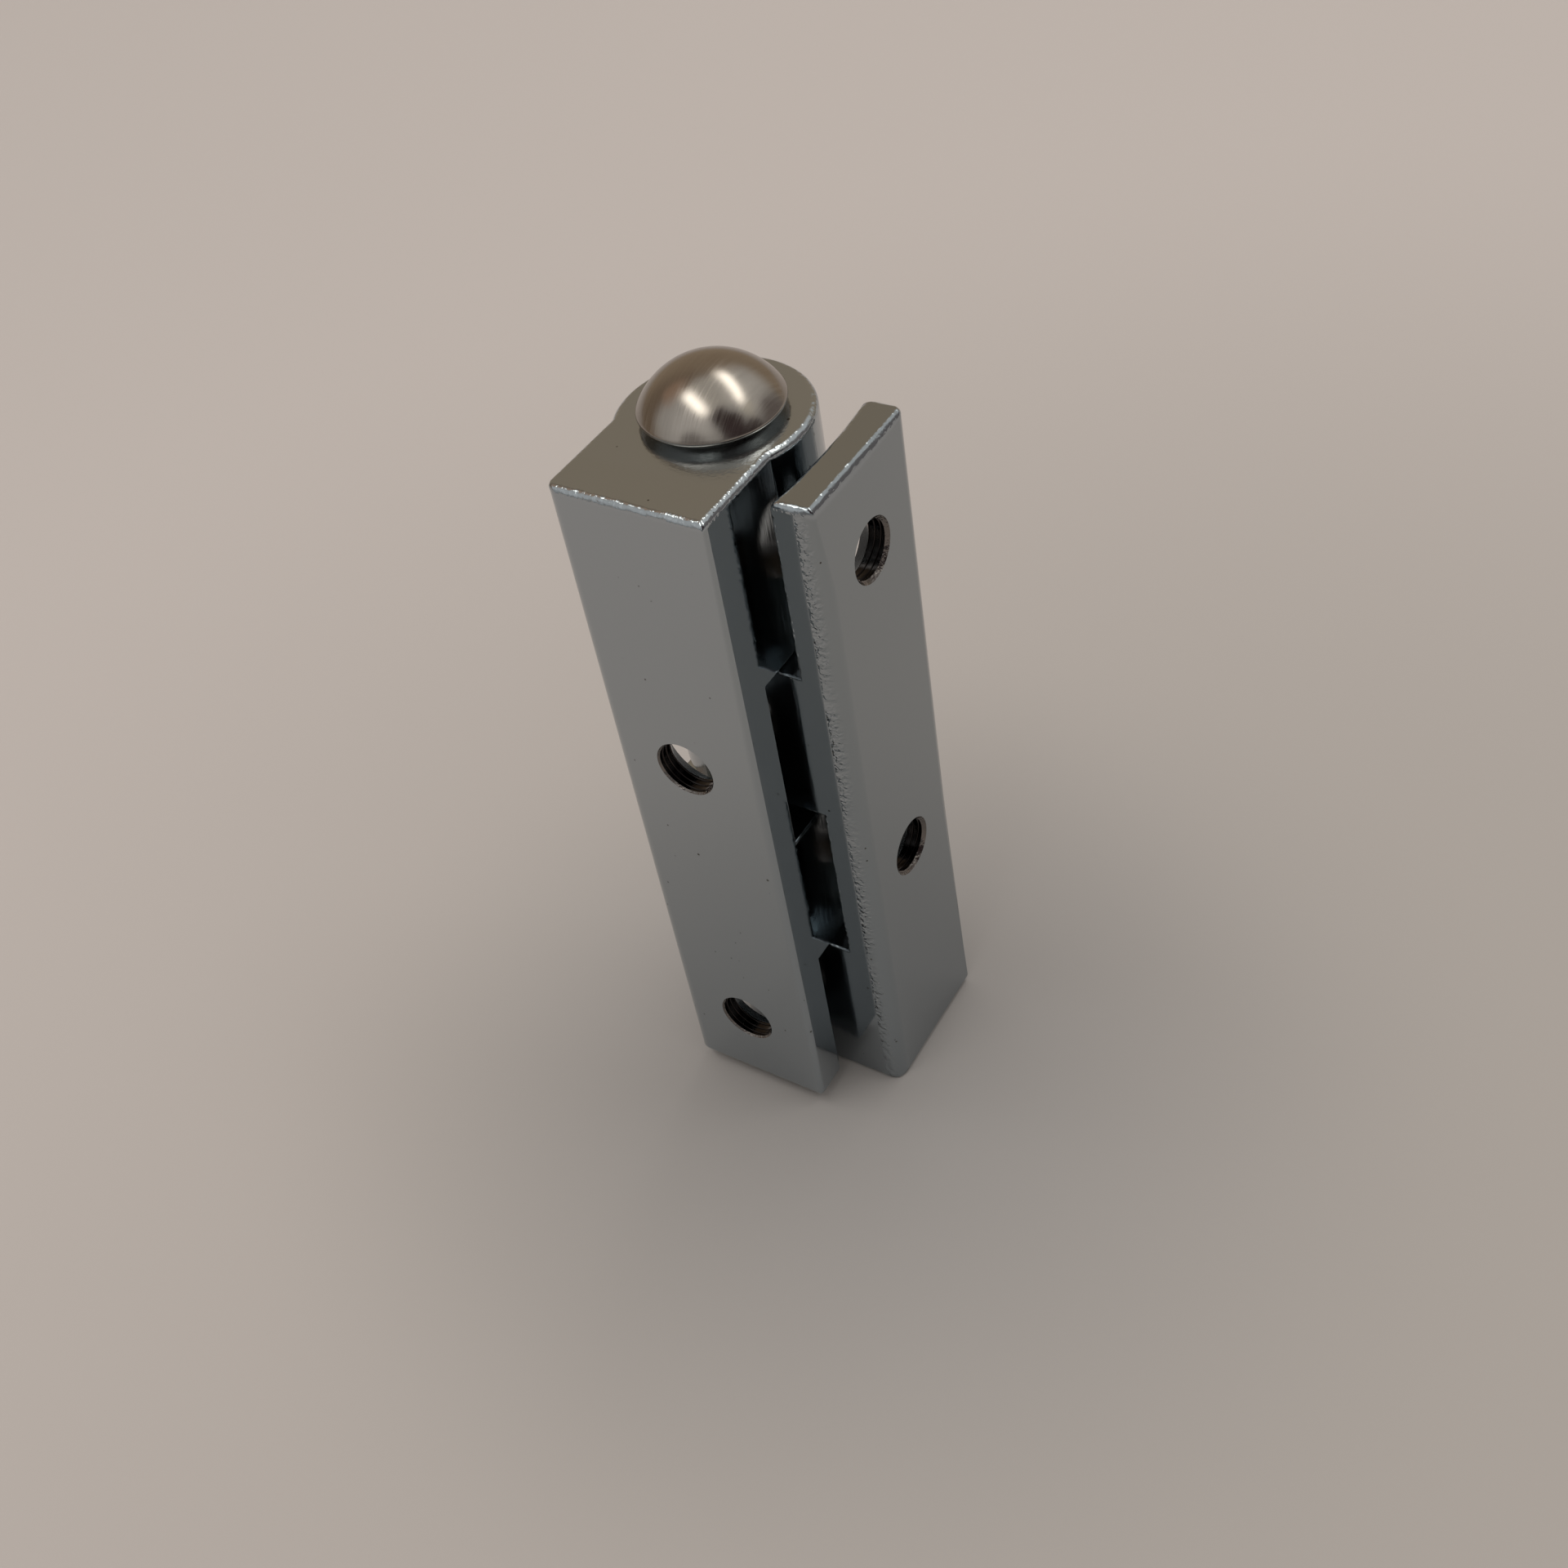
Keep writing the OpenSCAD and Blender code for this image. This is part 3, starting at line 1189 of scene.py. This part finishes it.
@dataclass
class Studio:
    """Pale paper sheet, two long soft lamps overhead, a dim room to mirror, and the camera.

    Places are in millimetres. The camera's azimuth runs from the front to the door leaf's side,
    and its focal length is a share of the sensor's width.
    """

    floor_z: float
    floor_half: float = 3000.0
    eye: Point = (67.382, -72.435, 106.943)
    azimuth_deg: float = 38.865
    elevation_deg: float = 44.023
    roll_deg: float = -11.164
    focal_share: float = 1.1556
    sensor: float = 36.0
    sight_m: Span = (0.001, 10.0)
    lamp_height: float = 1000.0
    lamp_radiance: float = 4.2
    ambient: float = 0.675
    ambient_tint: Point = (1.0, 0.985, 0.965)
    # Colour that the camera sees past the sheet
    paper_seen: str = "#b9b0aa"
    lamps: Tuple[StripLamp, ...] = (
        StripLamp("front lamp", x=-0.20, y=-0.34, length=0.90, width=0.22, turn_deg=-29.0),
        StripLamp("back lamp", x=0.29, y=0.45, length=1.10, width=0.22, turn_deg=-20.0),
    )

    def floor(self) -> None:
        """Lays the paper under the hinge."""
        bpy.ops.object.select_all(action="DESELECT")
        bpy.ops.mesh.primitive_plane_add(size=2 * self.floor_half * MM)
        sheet = bpy.context.object
        sheet.name = "paper_sheet"
        sheet.location = (0, 0, self.floor_z * MM)
        sheet.data.materials.append(WovePaper().material())
        sheet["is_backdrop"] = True

    def room(self) -> None:
        """Makes the world: even ambient light, and a dim room for the metal to mirror."""
        world = bpy.data.worlds.new("room")
        bpy.context.scene.world = world
        world.use_nodes = True
        tree = world.node_tree
        tree.nodes.clear()
        way = add_node(tree, "TexCoord")["Generated"]
        rays = add_node(tree, "LightPath")
        mirrored = MirroredRoom().paint(tree, way, self.lamps)
        # Even light, but for the rays that come from metal or from the camera
        shown = (*(self.ambient * tint for tint in self.ambient_tint), 1)
        for ray, seen in (("Is Glossy Ray", mirrored), ("Is Camera Ray", linear(self.paper_seen))):
            shown = add_node(
                tree, "Mix", {SHARE: rays[ray], COLOUR_A: shown, COLOUR_B: seen}, data_type="RGBA"
            )[MIXED_COLOUR]
        light = add_node(tree, "Background", {"Color": shown})
        add_node(tree, "OutputWorld", {"Surface": light["Background"]})

    def camera(self) -> None:
        """Puts the camera where the photograph was taken from."""
        data = bpy.data.cameras.new("view")
        data.sensor_width = self.sensor
        data.lens = self.sensor * self.focal_share
        data.clip_start, data.clip_end = self.sight_m
        eye = bpy.data.objects.new("view", data)
        bpy.context.scene.collection.objects.link(eye)
        eye.matrix_world = (
            Matrix.Translation(Vector(self.eye) * MM)
            @ Matrix.Rotation(math.radians(self.azimuth_deg), 4, "Z")
            @ Matrix.Rotation(math.pi / 2 - math.radians(self.elevation_deg), 4, "X")
            @ Matrix.Rotation(math.radians(self.roll_deg), 4, "Z")
        )
        bpy.context.scene.camera = eye

    def build(self) -> None:
        """Sets the whole stage."""
        self.camera()
        self.floor()
        for lamp in self.lamps:
            lamp.hang(self.lamp_height * MM, self.lamp_radiance)
        self.room()
        bpy.context.scene.view_settings.view_transform = "Standard"


def leaf_finishes(
    label: str, colour: str, inward: Point, zero_mm: float, grain_mm: float
) -> List[Material]:
    """Makes one leaf's finishes, in the order of its surfaces.

    Args:
        label: Leaf that they are for.
        colour: Colour of its plating, which for the door leaf is darkened by painted shade.
        inward: Direction from the mounting face to the pin.
        zero_mm: Depth of the origin along that direction.
        grain_mm: Height of the grain along its long edges.

    Returns:
        Finishes of the faces, the end edges, the long edges, the screw holes and their lead-ins.
    """
    face = BrightPlate(
        name=f"Bright plating on die-cast zinc, {label}", colour=colour, inward=inward,
        inward_zero_mm=zero_mm,
    )
    end_edge = replace(
        face, name=f"Bright plating on a cast end, {label}", roughness=0.1,
        pebble_height_mm=0.042, swell_height_mm=0.11,
    )
    long_edge = replace(
        face, name=f"Bright plating on a cast edge, {label}", roughness=0.12, pebble_mm=0.4,
        pebble_height_mm=grain_mm, pebble_depth_mm=(0.3, 0.9),
    )
    # The thread's dark colour is painted shade inside the screw hole
    hole = replace(
        face, name=f"Thin plating on a cut thread, {label}", colour="#312e2d", roughness=0.15,
    )
    # The lead-in's darker colour is painted shade at the screw hole's mouth
    lead_in = replace(
        face, name=f"Bright plating on a cut lead-in, {label}", colour="#75716e", roughness=0.15,
        pebble_height_mm=0.14,
    )
    return [finish.material() for finish in (face, end_edge, long_edge, hole, lead_in)]


def main() -> None:
    """Builds the stage and the hinge."""
    logging.basicConfig(level=logging.INFO)
    cad_low, cad_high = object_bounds()
    Studio(floor_z=cad_low[2] / MM).build()
    frame_casting = HingeLeaf(tap_r=2.34, lead_in=0.15)
    door_casting = HingeLeaf(front_right_r=1.5, back_left_r=1.3)
    frame_finishes = leaf_finishes(
        "frame leaf", "#a6aeb3", inward=(0, 1, 0), zero_mm=0.0, grain_mm=0.05
    )
    # The door leaf's plating is painted darker than the frame leaf's: painted shade on that leaf
    door_finishes = leaf_finishes(
        "door leaf", "#9ca4a9", inward=(-1, 0, 0), zero_mm=door_casting.reach, grain_mm=0.22
    )
    frame_leaf = frame_casting.build("frame_leaf_casting", frame_finishes)
    frame_casting.finish(frame_leaf, frame_casting.frame_place())
    door_leaf = door_casting.build("door_leaf_casting", door_finishes)
    door_casting.finish(door_leaf, door_casting.door_place())
    pin = HingePin(frame_casting).build("dome_headed_pin", BrushedStainless().material())
    dressed = (
        (frame_leaf, "frame_leaf", "frame_leaf", "plated_zinc"),
        (door_leaf, "door_leaf", "door_leaf", "plated_zinc"),
        (pin, "frame_leaf", "hinge_pin", "stainless_pin"),
    )
    for piece, body, node, slot in dressed:
        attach(piece, body)
        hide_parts(node)
        LOG.info("%s: %d faces on %s", piece.name, len(piece.data.polygons), body)


if __name__ == "__main__":
    main()
